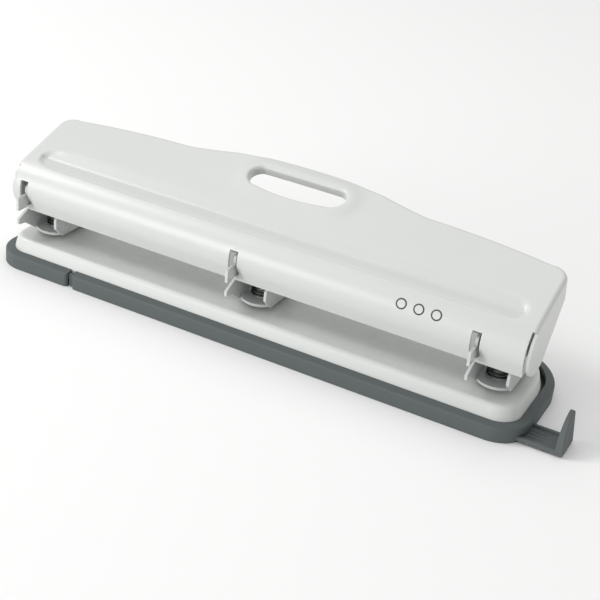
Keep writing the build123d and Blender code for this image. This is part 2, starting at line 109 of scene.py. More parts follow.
def left_normals(line: np.ndarray, closed: bool = False) -> np.ndarray:
    """Unit normals to the left of a plane polyline: its smoothed direction turned by a quarter turn.

    Args:
        line: Points (n, 2).
        closed: Whether the last point joins the first.

    Returns:
        Array (n, 2).
    """
    if closed:
        direction = np.roll(line, -1, 0) - np.roll(line, 1, 0)
    else:
        direction = np.gradient(line, axis=0)
    direction /= np.linalg.norm(direction, axis=1, keepdims=True)
    return np.stack([-direction[:, 1], direction[:, 0]], 1)


def smooth_step(value: np.ndarray, low: float, high: float) -> np.ndarray:
    """0 below low, 1 above high, and 3t^2 - 2t^3 between them."""
    t = np.clip((value - low) / (high - low), 0, 1)
    return t * t * (3 - 2 * t)


def tube_along(path: np.ndarray, radius: np.ndarray, sides: int) -> np.ndarray:
    """Grid of a round tube on a path that never runs along Z.

    At each point the tangent is the path's direction, the side is the tangent crossed with +Z,
    and the third axis is side crossed with tangent; the ring is radius (side cos a + third sin a).

    Args:
        path: Points (n, 3).
        radius: Tube radius at each point, (n,).
        sides: Steps round the tube.

    Returns:
        Array (n, sides + 1, 3).
    """
    tangent = np.gradient(path, axis=0)
    tangent /= np.linalg.norm(tangent, axis=1, keepdims=True)
    side = np.cross(tangent, [0.0, 0.0, 1.0])
    side /= np.linalg.norm(side, axis=1, keepdims=True)
    third = np.cross(side, tangent)
    angle = np.linspace(0, 2 * np.pi, sides + 1)[None, :, None]
    ring = side[:, None] * np.cos(angle) + third[:, None] * np.sin(angle)
    return path[:, None] + radius[:, None, None] * ring


class SheetMesh:
    """Collects grid blocks and welds them into one mesh."""

    def __init__(self) -> None:
        """Start empty."""
        self.points: list[np.ndarray] = []
        self.faces: list[np.ndarray] = []
        self.count = 0

    def add(self, grid: np.ndarray, keep: np.ndarray | None = None) -> "SheetMesh":
        """Add a block of quads.

        Args:
            grid: Points (rows, columns, 3) in millimetres.
            keep: Which cells are kept, (rows - 1, columns - 1); all when left out.

        Returns:
            This collector.
        """
        rows, columns = grid.shape[:2]
        index = np.arange(rows * columns).reshape(rows, columns) + self.count
        quads = np.stack([index[:-1, :-1], index[:-1, 1:], index[1:, 1:], index[1:, :-1]], -1)
        self.faces.append(quads[keep] if keep is not None else quads.reshape(-1, 4))
        self.points.append(grid.reshape(-1, 3))
        self.count += rows * columns
        return self

    def build(self, name: str, outward: Vector | None = None,
              probe: Vector | None = None) -> bpy.types.Object:
        """Weld the blocks, turn every face outwards and make the object.

        Args:
            name: Object's name.
            outward: Direction that the face nearest to probe has to look; left out on closed meshes.
            probe: A point near one known face, in millimetres.

        Returns:
            The linked object, at the origin.
        """
        points, faces = np.concatenate(self.points) * MM, np.concatenate(self.faces)
        mesh = bpy.data.meshes.new(name)
        mesh.from_pydata(points.tolist(), [], faces.tolist())
        work = bmesh.new()
        work.from_mesh(mesh)
        bmesh.ops.remove_doubles(work, verts=work.verts, dist=0.004 * MM)
        bmesh.ops.dissolve_degenerate(work, edges=work.edges, dist=0.002 * MM)
        bmesh.ops.recalc_face_normals(work, faces=work.faces)
        if outward is not None:
            near = min(work.faces, key=lambda f: (f.calc_center_median() - probe * MM).length)
            if near.normal.dot(outward) < 0:
                bmesh.ops.reverse_faces(work, faces=work.faces)
        work.to_mesh(mesh)
        work.free()
        mesh.polygons.foreach_set("use_smooth", np.ones(len(mesh.polygons), bool))
        thing = bpy.data.objects.new(name, mesh)
        bpy.context.scene.collection.objects.link(thing)
        return thing


def dress(thing: bpy.types.Object, material: bpy.types.Material) -> bpy.types.Object:
    """Give an object one material in place of any it has."""
    thing.data.materials.clear()
    thing.data.materials.append(material)
    return thing


def bevel(thing: bpy.types.Object, width: float, angle: float = 40.0, segments: int = 2) -> None:
    """Round the edges sharper than an angle.

    Args:
        thing: Mesh object.
        width: Bevel width in millimetres.
        angle: Sharpness limit in degrees.
        segments: Faces across the bevel.
    """
    rounder = thing.modifiers.new("edge_round", "BEVEL")
    rounder.width = width * MM
    rounder.segments = segments
    rounder.limit_method = "ANGLE"
    rounder.angle_limit = math.radians(angle)
    rounder.use_clamp_overlap = True
    rounder.harden_normals = False
    weights = thing.modifiers.new("face_weights", "WEIGHTED_NORMAL")
    weights.keep_sharp = True


def softened(node: str, body: str, material: bpy.types.Material, width: float) -> bpy.types.Object:
    """Bevelled copy of a CAD node: doubles merged, flat faces joined, then sharp edges rounded.

    Args:
        node: CAD node's name.
        body: Body it rides on.
        material: Its finish.
        width: Bevel width in millimetres.

    Returns:
        The copy, which stands for the node.
    """
    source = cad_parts[node]
    work = bmesh.new()
    work.from_mesh(source.data)
    bmesh.ops.remove_doubles(work, verts=work.verts, dist=0.002 * MM)
    bmesh.ops.dissolve_limit(work, angle_limit=math.radians(0.6), verts=work.verts, edges=work.edges)
    mesh = bpy.data.meshes.new(node + "_soft")
    work.to_mesh(mesh)
    work.free()
    mesh.polygons.foreach_set("use_smooth", np.ones(len(mesh.polygons), bool))
    thing = bpy.data.objects.new(node + "_soft", mesh)
    bpy.context.scene.collection.objects.link(thing)
    mesh.set_sharp_from_angle(angle=math.radians(35))
    bevel(thing, width)
    dress(thing, material)
    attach(thing, body)
    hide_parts(node)
    return thing


# ---- shared shader effects -------------------------------------------------------------------
class Effect:
    """A shader node group made once: named inputs and outputs round a few nodes."""

    def __init__(self, name: str, inputs: dict[str, tuple[str, object]],
                 outputs: dict[str, str]) -> None:
        """Make the empty group.

        Args:
            name: Group's name.
            inputs: Socket name to its kind ("Float" or "Color") and default.
            outputs: Socket name to its kind.
        """
        self.tree = bpy.data.node_groups.new(name, "ShaderNodeTree")
        for socket, (kind, default) in inputs.items():
            made = self.tree.interface.new_socket(socket, in_out="INPUT",
                                                  socket_type="NodeSocket" + kind)
            made.default_value = default
        for socket, kind in outputs.items():
            self.tree.interface.new_socket(socket, in_out="OUTPUT",
                                           socket_type="NodeSocket" + kind)
        self.source = self.tree.nodes.new("NodeGroupInput")
        self.sink = self.tree.nodes.new("NodeGroupOutput")

    def node(self, kind: str, **values: object) -> bpy.types.Node:
        """Add a node and set its properties."""
        return add_node(self.tree, kind, **values)

    def link(self, start: bpy.types.NodeSocket, end: bpy.types.NodeSocket) -> None:
        """Join two sockets."""
        self.tree.links.new(start, end)


def add_node(tree: bpy.types.NodeTree, kind: str, **values: object) -> bpy.types.Node:
    """Add a shader node.

    Args:
        tree: Where it goes.
        kind: Node type without its "ShaderNode" prefix.
        **values: Properties by name, or input defaults by "in_" and the socket's index.

    Returns:
        The node.
    """
    made = tree.nodes.new("ShaderNode" + kind)
    for key, value in values.items():
        if key.startswith("in_"):
            made.inputs[int(key[3:])].default_value = value
        else:
            setattr(made, key, value)
    return made


def enamel_texture() -> bpy.types.NodeTree:
    """Sprayed enamel: a fine pebbled height and a slow drift of tone.

    Returns:
        Group with inputs Scale, Drift and outputs Height, Tone (a factor about 1) and Gloss.
    """
    fx = Effect("enamel_texture", {"Scale": ("Float", 900.0), "Drift": ("Float", 0.03)},
                {"Height": "Float", "Tone": "Float", "Gloss": "Float"})
    where = fx.node("TexCoord")
    pebble = fx.node("TexNoise", in_3=2.0, in_4=0.55)
    fx.link(where.outputs["Object"], pebble.inputs["Vector"])
    fx.link(fx.source.outputs["Scale"], pebble.inputs["Scale"])
    slow = fx.node("TexNoise", in_2=18.0, in_3=3.0)
    fx.link(where.outputs["Object"], slow.inputs["Vector"])
    centred = fx.node("Math", operation="SUBTRACT", in_1=0.5)
    fx.link(slow.outputs["Fac"], centred.inputs[0])
    drift = fx.node("Math", operation="MULTIPLY_ADD", in_2=1.0)
    fx.link(centred.outputs[0], drift.inputs[0])
    fx.link(fx.source.outputs["Drift"], drift.inputs[1])
    gloss = fx.node("Math", operation="MULTIPLY_ADD", in_1=0.12, in_2=0.0)
    fx.link(centred.outputs[0], gloss.inputs[0])
    fx.link(pebble.outputs["Fac"], fx.sink.inputs["Height"])
    fx.link(drift.outputs[0], fx.sink.inputs["Tone"])
    fx.link(gloss.outputs[0], fx.sink.inputs["Gloss"])
    return fx.tree


def edge_wear() -> bpy.types.NodeTree:
    """Rubbed edges: the surface's pointiness past a threshold, broken up by noise.

    Returns:
        Group with inputs Base, Worn, Amount and outputs Color and Mask.
    """
    fx = Effect("edge_wear", {"Base": ("Color", (0.5, 0.5, 0.5, 1)),
                              "Worn": ("Color", (0.6, 0.6, 0.6, 1)),
                              "Amount": ("Float", 0.5)}, {"Color": "Color", "Mask": "Float"})
    form = fx.node("NewGeometry")
    where = fx.node("TexCoord")
    specks = fx.node("TexNoise", in_2=420.0, in_3=4.0)
    fx.link(where.outputs["Object"], specks.inputs["Vector"])
    sharp = fx.node("MapRange", in_1=0.53, in_2=0.62)
    fx.link(form.outputs["Pointiness"], sharp.inputs[0])
    broken = fx.node("MapRange", in_1=0.42, in_2=0.62)
    fx.link(specks.outputs["Fac"], broken.inputs[0])
    both = fx.node("Math", operation="MULTIPLY")
    fx.link(sharp.outputs[0], both.inputs[0])
    fx.link(broken.outputs[0], both.inputs[1])
    mask = fx.node("Math", operation="MULTIPLY", use_clamp=True)
    fx.link(both.outputs[0], mask.inputs[0])
    fx.link(fx.source.outputs["Amount"], mask.inputs[1])
    mix = fx.node("Mix", data_type="RGBA")
    fx.link(mask.outputs[0], mix.inputs["Factor"])
    fx.link(fx.source.outputs["Base"], mix.inputs[6])
    fx.link(fx.source.outputs["Worn"], mix.inputs[7])
    fx.link(mix.outputs[2], fx.sink.inputs["Color"])
    fx.link(mask.outputs[0], fx.sink.inputs["Mask"])
    return fx.tree


def settled_dust() -> bpy.types.NodeTree:
    """Thin dust on faces that look up, in slow patches.

    Returns:
        Group with inputs Base, Dust, Amount and outputs Color and Mask.
    """
    fx = Effect("settled_dust", {"Base": ("Color", (0.5, 0.5, 0.5, 1)),
                                 "Dust": ("Color", (0.7, 0.69, 0.66, 1)),
                                 "Amount": ("Float", 0.1)}, {"Color": "Color", "Mask": "Float"})
    form = fx.node("NewGeometry")
    axes = fx.node("SeparateXYZ")
    fx.link(form.outputs["Normal"], axes.inputs[0])
    up = fx.node("MapRange", in_1=0.3, in_2=1.0)
    fx.link(axes.outputs["Z"], up.inputs[0])
    where = fx.node("TexCoord")
    patches = fx.node("TexNoise", in_2=70.0, in_3=6.0, in_4=0.6)
    fx.link(where.outputs["Object"], patches.inputs["Vector"])
    patchy = fx.node("Math", operation="MULTIPLY")
    fx.link(up.outputs[0], patchy.inputs[0])
    fx.link(patches.outputs["Fac"], patchy.inputs[1])
    mask = fx.node("Math", operation="MULTIPLY", use_clamp=True)
    fx.link(patchy.outputs[0], mask.inputs[0])
    fx.link(fx.source.outputs["Amount"], mask.inputs[1])
    mix = fx.node("Mix", data_type="RGBA")
    fx.link(mask.outputs[0], mix.inputs["Factor"])
    fx.link(fx.source.outputs["Base"], mix.inputs[6])
    fx.link(fx.source.outputs["Dust"], mix.inputs[7])
    fx.link(mix.outputs[2], fx.sink.inputs["Color"])
    fx.link(mask.outputs[0], fx.sink.inputs["Mask"])
    return fx.tree


def grind_lines() -> bpy.types.NodeTree:
    """Fine lines left by grinding or drawing, stretched along one axis.

    Returns:
        Group with inputs Across (line scale on X, Y, Z as a colour) and outputs Height and Value.
    """
    fx = Effect("grind_lines", {"Across": ("Color", (40, 2500, 2500, 1))},
                {"Height": "Float", "Value": "Float"})
    where = fx.node("TexCoord")
    stretch = fx.node("VectorMath", operation="MULTIPLY")
    fx.link(where.outputs["Object"], stretch.inputs[0])
    fx.link(fx.source.outputs["Across"], stretch.inputs[1])
    lines = fx.node("TexNoise", in_2=1.0, in_3=3.0, in_4=0.6)
    fx.link(stretch.outputs[0], lines.inputs["Vector"])
    fx.link(lines.outputs["Fac"], fx.sink.inputs["Height"])
    fx.link(lines.outputs["Fac"], fx.sink.inputs["Value"])
    return fx.tree


class Effects:
    """The shared groups, made on first use."""

    _made: dict[str, bpy.types.NodeTree] = {}
    _makers = {"enamel": enamel_texture, "wear": edge_wear, "dust": settled_dust,
               "lines": grind_lines}

    @classmethod
    def get(cls, name: str) -> bpy.types.NodeTree:
        """The group of that name."""
        if name not in cls._made:
            cls._made[name] = cls._makers[name]()
        return cls._made[name]

    @classmethod
    def place(cls, tree: bpy.types.NodeTree, name: str, **values: object) -> bpy.types.Node:
        """Put a group into a material and set its inputs by name."""
        node = tree.nodes.new("ShaderNodeGroup")
        node.node_tree = cls.get(name)
        for key, value in values.items():
            node.inputs[key].default_value = value
        return node


# ---- finishes --------------------------------------------------------------------------------
Colour = tuple[float, float, float, float]


@dataclass(frozen=True)
class Pebble:
    """How strong a fine bump is, and how deep in metres."""

    strength: float
    distance: float


def pebbled_material(finish: "EnamelPaint | MouldedPlastic", texture: dict[str, float],
                     dust: dict[str, object], pebble: Pebble) -> bpy.types.Material:
    """Shader of a paint or a plastic: pebbled height, drifting tone, worn edges and dust.

    Args:
        finish: Gives the name, the colour, the worn colour, the wear and the roughness.
        texture: Inputs of the enamel texture.
        dust: Inputs of the dust.
        pebble: The bump.

    Returns:
        The material.
    """
    made = bpy.data.materials.new(finish.name)
    made.use_nodes = True
    tree = made.node_tree
    shader = tree.nodes["Principled BSDF"]
    grain = Effects.place(tree, "enamel", **texture)
    tone = add_node(tree, "Mix", data_type="RGBA", blend_type="MULTIPLY", in_0=1.0)
    tone.inputs[6].default_value = finish.colour
    tree.links.new(grain.outputs["Tone"], tone.inputs[7])
    wear = Effects.place(tree, "wear", Worn=finish.worn, Amount=finish.wear)
    tree.links.new(tone.outputs[2], wear.inputs["Base"])
    film = Effects.place(tree, "dust", **dust)
    tree.links.new(wear.outputs["Color"], film.inputs["Base"])
    tree.links.new(film.outputs["Color"], shader.inputs["Base Color"])
    rough = add_node(tree, "Math", operation="ADD", use_clamp=True, in_1=finish.roughness)
    tree.links.new(grain.outputs["Gloss"], rough.inputs[0])
    tree.links.new(rough.outputs[0], shader.inputs["Roughness"])
    bump = add_node(tree, "Bump")
    bump.inputs["Strength"].default_value = pebble.strength
    bump.inputs["Distance"].default_value = pebble.distance
    tree.links.new(grain.outputs["Height"], bump.inputs["Height"])
    tree.links.new(bump.outputs["Normal"], shader.inputs["Normal"])
    return made


@dataclass(frozen=True)
class EnamelPaint:
    """Sprayed satin enamel on sheet steel."""

    name: str
    colour: Colour
    worn: Colour
    roughness: float = 0.42
    pebble: float = 0.05
    scale: float = 1100.0
    wear: float = 0.5
    dust: float = 0.10
    coat: float = 0.12

    def material(self) -> bpy.types.Material:
        """Build the shader: base colour drifts in tone, wears at edges and takes thin dust."""
        made = pebbled_material(self, {"Scale": self.scale, "Drift": 0.06}, {"Amount": self.dust},
                                Pebble(self.pebble, 0.0006))
        shader = made.node_tree.nodes["Principled BSDF"]
        shader.inputs["Metallic"].default_value = 0.0
        shader.inputs["Coat Weight"].default_value = self.coat
        shader.inputs["Coat Roughness"].default_value = 0.25
        return made


@dataclass(frozen=True)
class MouldedPlastic:
    """Dark moulded plastic with a fine spark-eroded grain."""

    name: str
    colour: Colour
    worn: Colour
    roughness: float = 0.5
    wear: float = 0.6
    grain: float = 0.18
    scale: float = 1700.0
    dust: float = 0.12
    specular: float = 0.28

    def material(self) -> bpy.types.Material:
        """Build the shader: grained height, slow tone drift, paler rubbed edges and light dust."""
        made = pebbled_material(self, {"Scale": self.scale, "Drift": 0.25},
                                {"Amount": self.dust, "Dust": (0.32, 0.32, 0.31, 1)},
                                Pebble(self.grain, 0.0005))
        shader = made.node_tree.nodes["Principled BSDF"]
        shader.inputs["Specular IOR Level"].default_value = self.specular
        return made


@dataclass(frozen=True)
class BareSteel:
    """Bare or blackened steel with grinding or drawing lines."""

    name: str
    colour: Colour
    across: Colour
    roughness: float = 0.3
    metallic: float = 1.0
    lines: float = 0.15

    def material(self) -> bpy.types.Material:
        """Build the shader: lines shade the roughness, the colour and the height."""
        made = bpy.data.materials.new(self.name)
        made.use_nodes = True
        tree = made.node_tree
        shader = tree.nodes["Principled BSDF"]
        shader.inputs["Metallic"].default_value = self.metallic
        lines = Effects.place(tree, "lines", Across=self.across)
        shade = add_node(tree, "MapRange", in_1=0.25, in_2=0.75, in_3=0.78, in_4=1.12)
        tree.links.new(lines.outputs["Value"], shade.inputs[0])
        tone = add_node(tree, "Mix", data_type="RGBA", blend_type="MULTIPLY", in_0=1.0)
        tone.inputs[6].default_value = self.colour
        tree.links.new(shade.outputs[0], tone.inputs[7])
        wear = Effects.place(tree, "wear", Worn=(0.75, 0.75, 0.73, 1), Amount=0.3)
        tree.links.new(tone.outputs[2], wear.inputs["Base"])
        tree.links.new(wear.outputs["Color"], shader.inputs["Base Color"])
        rough = add_node(tree, "MapRange", in_1=0.2, in_2=0.8)
        rough.inputs[3].default_value = self.roughness * 0.8
        rough.inputs[4].default_value = self.roughness * 1.3
        tree.links.new(lines.outputs["Value"], rough.inputs[0])
        tree.links.new(rough.outputs[0], shader.inputs["Roughness"])
        bump = add_node(tree, "Bump")
        bump.inputs["Strength"].default_value = self.lines
        bump.inputs["Distance"].default_value = 0.0003
        tree.links.new(lines.outputs["Height"], bump.inputs["Height"])
        tree.links.new(bump.outputs["Normal"], shader.inputs["Normal"])
        return made


class Finish(Enum):
    """Every finish on the punch."""

    LEVER = EnamelPaint("lever_enamel", (0.615, 0.63, 0.612, 1), (0.76, 0.77, 0.75, 1), 0.36,
                        wear=0.25, coat=0.3)
    BASE = EnamelPaint("base_enamel", (0.615, 0.63, 0.612, 1), (0.75, 0.76, 0.74, 1), 0.38,
                       wear=0.25, coat=0.3)
    BRACKET = EnamelPaint("bracket_enamel", (0.55, 0.575, 0.56, 1), (0.74, 0.75, 0.74, 1), 0.34,
                          wear=0.9, coat=0.25)
    TRAY = MouldedPlastic("tray_plastic", (0.013, 0.0155, 0.0155, 1), (0.05, 0.054, 0.054, 1),
                          0.36, dust=0.05)
    GUIDE = MouldedPlastic("guide_plastic", (0.010, 0.012, 0.012, 1), (0.04, 0.043, 0.043, 1),
                           0.42, scale=1500.0, dust=0.03, specular=0.12)
    BUSH = BareSteel("bush_steel", (0.52, 0.515, 0.50, 1), (1800, 900, 900, 1), 0.3)
    PIN = BareSteel("pin_steel", (0.58, 0.575, 0.56, 1), (2500, 2500, 60, 1), 0.24)
    ROD = BareSteel("rod_steel", (0.56, 0.555, 0.54, 1), (30, 2600, 2600, 1), 0.3)
    DIE = BareSteel("die_steel", (0.42, 0.42, 0.41, 1), (1500, 1500, 200, 1), 0.36)
    RIVET = BareSteel("rivet_steel", (0.56, 0.56, 0.55, 1), (900, 900, 900, 1), 0.32)
    CLIP = BareSteel("clip_steel", (0.16, 0.16, 0.165, 1), (1200, 1200, 300, 1), 0.38)
    SPRING = BareSteel("spring_steel", (0.16, 0.16, 0.165, 1), (700, 700, 1800, 1), 0.18)
    LEAF = BareSteel("leaf_steel", (0.52, 0.53, 0.53, 1), (60, 2400, 900, 1), 0.3)
    PRINT = EnamelPaint("printed_mark", (0.05, 0.055, 0.06, 1), (0.2, 0.2, 0.2, 1), 0.5,
                        wear=0.0, dust=0.03)

    def made(self) -> bpy.types.Material:
        """The material, built the first time."""
        found = bpy.data.materials.get(self.value.name)
        return found or self.value.material()


# ---- the lever -------------------------------------------------------------------------------
@dataclass
class LeverSkin:
    """The pressed lever: front roll and lip, panel, hand slot, long recess and folded sides.

    Places on it are (x, w): x along the lever and w the distance round the section, 0 where the
    roll meets the panel, positive up the panel and negative down the roll and the lip.
    """

    roll_y: float = -13.25
    roll_z: float = 35.4
    roll_r: float = 13.0
    sheet: float = 1.2
    panel_angle: float = 18.1
    lip_end_y: float = -23.45
    lip_end_z: float = 26.9
    half_x: float = 122.45
    fold_r: float = 2.0
    fold_end: float = -4.5
    front_r: float = 12.0
    straight_top: float = 13.0
    corner_x: float = 118.6
    return_depth: float = 4.6
    side_slope: float = 0.6745
    side_low: float = 26.08
    side_back: float = 29.47
    side_round: float = 0.5
    slot_x: float = -0.4
    slot_u: float = 32.0
    slot_half_x: float = 23.0
    slot_half_u: float = 5.4
    slot_bow: float = 2.8
    slot_curl: float = 1.6
    slot_lip: float = 4.2
    pillow: float = 1.1
    recess_half_x: float = 116.0
    recess_low: float = -2.9
    recess_crease: float = 4.8
    recess_high: float = 11.6
    recess_depth: float = 1.9
    recess_fade: float = 6.0
    pillow_half_x: float = 17.0
    pillow_flat: float = 7.5
    pillow_reach: float = 4.5
    dimple_width: float = 3.4
    dimple_height: float = 8.0
    dimple_depth: float = 1.5
    window_x: tuple[float, float] = (-9.6, -5.6)
    window_z: tuple[float, float] = (28.1, 40.1)
    heads: tuple[float, ...] = (-108.0, 0.0, 108.0)

    def __post_init__(self) -> None:
        """Work out where the lip leaves the roll and how long roll and lip are."""
        reach = math.hypot(self.lip_end_y - self.roll_y, self.lip_end_z - self.roll_z)
        middle_r = self.roll_r - self.sheet / 2
        aim = 2 * math.pi + math.atan2(self.lip_end_z - self.roll_z, self.lip_end_y - self.roll_y)
        self.lip_angle = aim - math.acos(middle_r / reach)
        self.top_angle = math.radians(90 + self.panel_angle)
        self.roll_w = (self.lip_angle - self.top_angle) * self.roll_r
        self.lip_w = math.sqrt(reach**2 - middle_r**2) + self.sheet / 2

    def section(self, w: np.ndarray) -> tuple[np.ndarray, np.ndarray]:
        """Points and outward normals of the section at distances w.

        Up the panel it is the straight line at the panel's angle; down the roll it is the circle,
        angle = top angle - w / radius; past the roll it runs straight on along its tangent.

        Args:
            w: Distances, any shape.

        Returns:
            Points (..., 2) and unit normals (..., 2), both as y and z.
        """
        angle = self.top_angle + np.clip(-w, 0, self.roll_w) / self.roll_r
        normal = np.stack([np.cos(angle), np.sin(angle)], -1)
        along = np.stack([-np.sin(angle), np.cos(angle)], -1)
        past = np.clip(-w - self.roll_w, 0, None) - np.clip(w, 0, None)
        centre = np.array([self.roll_y, self.roll_z])
        return centre + self.roll_r * normal + past[..., None] * along, normal

    def place(self, x: np.ndarray, w: np.ndarray, height: np.ndarray) -> np.ndarray:
        """Points in space for places (x, w) moved out along the section's normal by height."""
        point, normal = self.section(w)
        yz = point + height[..., None] * normal
        return np.concatenate([np.broadcast_to(x, w.shape)[..., None], yz], -1)

    def relief(self, x: np.ndarray, w: np.ndarray) -> np.ndarray:
        """Height of the pressed features over the plain section.

        Across the recess a floor sinks evenly from the lower edge to the crease, a wall climbs from
        there to the upper edge, and both edges and the crease have a narrow step. At the ends of
        its long oval the depth fades to 0 with the distance inside. The pillow round the hand slot
        falls off as exp(-d^2) with the distance d from it, and the dimple beside each window's
        lower end sinks as the product of its shares across and up.
        """
        half_u = (self.recess_high - self.recess_low) / 2
        middle_u = (self.recess_high + self.recess_low) / 2
        straight = self.recess_half_x - half_u
        inside = half_u - np.hypot(x - np.clip(x, -straight, straight), w - middle_u)
        deep, low, crease = self.recess_depth, self.recess_low, self.recess_crease
        stops = np.array([low, low + 0.5, crease - 0.45, crease, crease + 0.45,
                          self.recess_high - 1.3, self.recess_high])
        depths = np.array([0.0, 0.34, deep, deep - 0.1, deep - 0.42, 0.22, 0.0])
        oval = smooth_step(inside, 0.0, 2.2 + 1.6 * smooth_step(w, 3.0, 8.0))
        at_end = smooth_step(np.abs(x), straight - self.recess_fade, straight)
        recess = -np.interp(w, stops, depths) * (1 - at_end + at_end * oval)

        spine = np.clip(x, self.slot_x - self.pillow_half_x, self.slot_x + self.pillow_half_x)
        away = np.clip(np.hypot(x - spine, w - self.slot_u) - self.pillow_flat, 0, None)
        pillow = self.pillow * np.exp(-(away / self.pillow_reach) ** 2)
        pillow *= smooth_step(w, 12.0, 19.0)

        dimple = np.zeros_like(w)
        start = -self.roll_w - self.lip_w + 1.0
        up = np.clip(1 - (w - start) / self.dimple_height, 0, 1)
        for head in self.heads:
            edge = head + self.window_x[1]
            beside = (x > edge - 0.01) & (x < edge + self.dimple_width + 0.1)
            share = np.clip(1 - (x - edge) / self.dimple_width, 0, 1) * up * beside
            sunk = smooth_step(share, 0.0, 0.9) * smooth_step(w, start - 1.0, start + 1.2)
            dimple -= self.dimple_depth * sunk
        return recess + pillow + dimple

    def surface(self, x: np.ndarray, w: np.ndarray) -> np.ndarray:
        """Points of the pressed outer surface."""
        return self.place(x, w, self.relief(x, w))

    def outline(self) -> np.ndarray:
        """Right half of the panel's outer edge: from its middle, round the corner, down the side."""
        runs = [
            arc_through((0, 46.0), (18.4, 45.35), (36.0, 43.4), 40),
            arc_through((36.0, 43.4), (47.6, 40.4), (58.0, 38.3), 30),
            arc_through((58.0, 38.3), (87.0, 36.7), (114.5, 33.2), 50),
            arc_through((114.5, 33.2), (120.3, 31.4), (self.half_x, 27.0), 30),
            np.array([[self.half_x, 26.0], [self.half_x, self.straight_top]]),
        ]
        return np.concatenate([runs[0]] + [r[1:] for r in runs[1:]])

    def columns(self) -> np.ndarray:
        """Places of the grid's columns: even steps, finer at the recess's ends and the windows."""
        edge = self.half_x - self.fold_r
        stops = [np.linspace(0, 30, 25), np.linspace(30, 92, 34), np.linspace(92, 106, 20),
                 np.linspace(106, 117, 32), np.linspace(117, edge, 8)]
        right = np.concatenate(stops)
        both = np.concatenate([-right, right])
        for head in self.heads:
            low, high = head + self.window_x[0], head + self.window_x[1]
            both = both[(np.abs(both - low) > 0.6) & (np.abs(both - high) > 0.6)]
            beside = high + np.array([0.9, 1.8, 2.7, 3.6])
            both = np.concatenate([both, np.linspace(low, high, 5), beside])
        both = both[np.abs(both) <= edge]
        both = np.unique(np.round(np.concatenate([both, [-edge, edge]]), 4))
        keep = np.concatenate([[True], np.diff(both) > 0.2])
        return both[keep]

    def window_rows(self) -> tuple[float, float]:
        """Distances w of the windows' lower and upper edges, found where the section has their z."""
        w = np.linspace(-self.roll_w - self.lip_w, -1.0, 4000)
        z = self.section(w)[0][:, 1]
        return tuple(float(w[np.argmin(np.abs(z - level))]) for level in self.window_z)

    def rows(self) -> np.ndarray:
        """Distances w of the straight grid's rows, from the lip's end to above the recess."""
        low, high = self.window_rows()
        start = -self.roll_w - self.lip_w
        bottom, crease, top = self.recess_low, self.recess_crease, self.recess_high
        stops = [start, low, high, bottom - 0.4, bottom + 1.0, crease - 0.9, crease + 0.9, top - 1.8,
                 self.straight_top]
        counts = [5, 18, 12, 9, 12, 11, 8, 12]
        parts = [np.linspace(a, b, n) for a, b, n in zip(stops[:-1], stops[1:], counts)]
        return np.unique(np.round(np.concatenate(parts), 5))

    def build(self) -> bpy.types.Object:
        """Weld the straight grid, the panel's patch, the slot's ring and the folded sides.

        The panel's patch blends its four edges (a Coons patch): lower row, rounded right side,
        upper edge and rounded left side. Its cells round the hand slot are left out and a ring
        of rows takes their place, which runs from those cells' edge to the slot and down its lip.
        """
        sheet = SheetMesh()
        x, w = self.columns(), self.rows()
        grid_x, grid_w = np.meshgrid(x, w)
        cells = np.ones((len(w) - 1, len(x) - 1), bool)
        low, high = self.window_rows()
        for head in self.heads:
            left, right = head + self.window_x[0] - 0.01, head + self.window_x[1] + 0.01
            across = (x[:-1] >= left) & (x[1:] <= right)
            up = (w[:-1] >= low - 0.01) & (w[1:] <= high + 0.01)
            cells &= ~(up[:, None] & across[None, :])
        sheet.add(self.surface(grid_x, grid_w), cells)

        # the border of the panel's patch, moved in by the fold's radius
        half = self.outline()
        full = np.concatenate([half[::-1], half[1:] * [-1, 1]])[::-1]
        inset = full - self.fold_r * left_normals(full)
        inset[0] = [-(self.half_x - self.fold_r), self.straight_top]
        inset[-1] = [self.half_x - self.fold_r, self.straight_top]
        wrong = 10 * (inset[:, 0] < 0) + 5 * (inset[:, 1] < 24)
        turn = np.argmin(np.abs(np.abs(inset[:, 0]) - self.corner_x) + wrong)
        last = len(inset) - 1
        left_side, right_side = inset[: last - turn + 1], inset[turn:][::-1]
        top = inset[last - turn: turn + 1]

        eta = np.linspace(0, 1, 34)
        xi = (x - x[0]) / (x[-1] - x[0])
        bottom = np.stack([x, np.full_like(x, self.straight_top)], 1)
        upper = resample(top, xi)
        left, right = resample(left_side, eta), resample(right_side, eta)
        e, f = eta[:, None, None], xi[None, :, None]
        patch = ((1 - e) * bottom[None] + e * upper[None]
                 + (1 - f) * left[:, None] + f * right[:, None]
                 - (1 - e) * (1 - f) * bottom[0] - (1 - e) * f * bottom[-1]
                 - e * (1 - f) * upper[0] - e * f * upper[-1])
        i0, i1 = int(np.searchsorted(x, -31.5)), int(np.searchsorted(x, 31.5))
        j0 = int(np.searchsorted(patch[:, (i0 + i1) // 2, 1], 18.0))
        cells = np.ones((len(eta) - 1, len(x) - 1), bool)
        cells[j0:, i0:i1] = False
        sheet.add(self.surface(patch[..., 0], patch[..., 1]), cells)
        self.add_slot(sheet, patch[j0:, i0:i1 + 1])
        self.add_sides(sheet, w, patch)
        thing = sheet.build("lever_skin", Vector((0, -0.31, 0.95)), Vector((70, 7, 56)))
        thick = thing.modifiers.new("sheet_thickness", "SOLIDIFY")
        thick.thickness = self.sheet * MM
        thick.offset = -1.0
        thick.use_even_offset = False
        bevel(thing, 0.3, 55)
        return thing

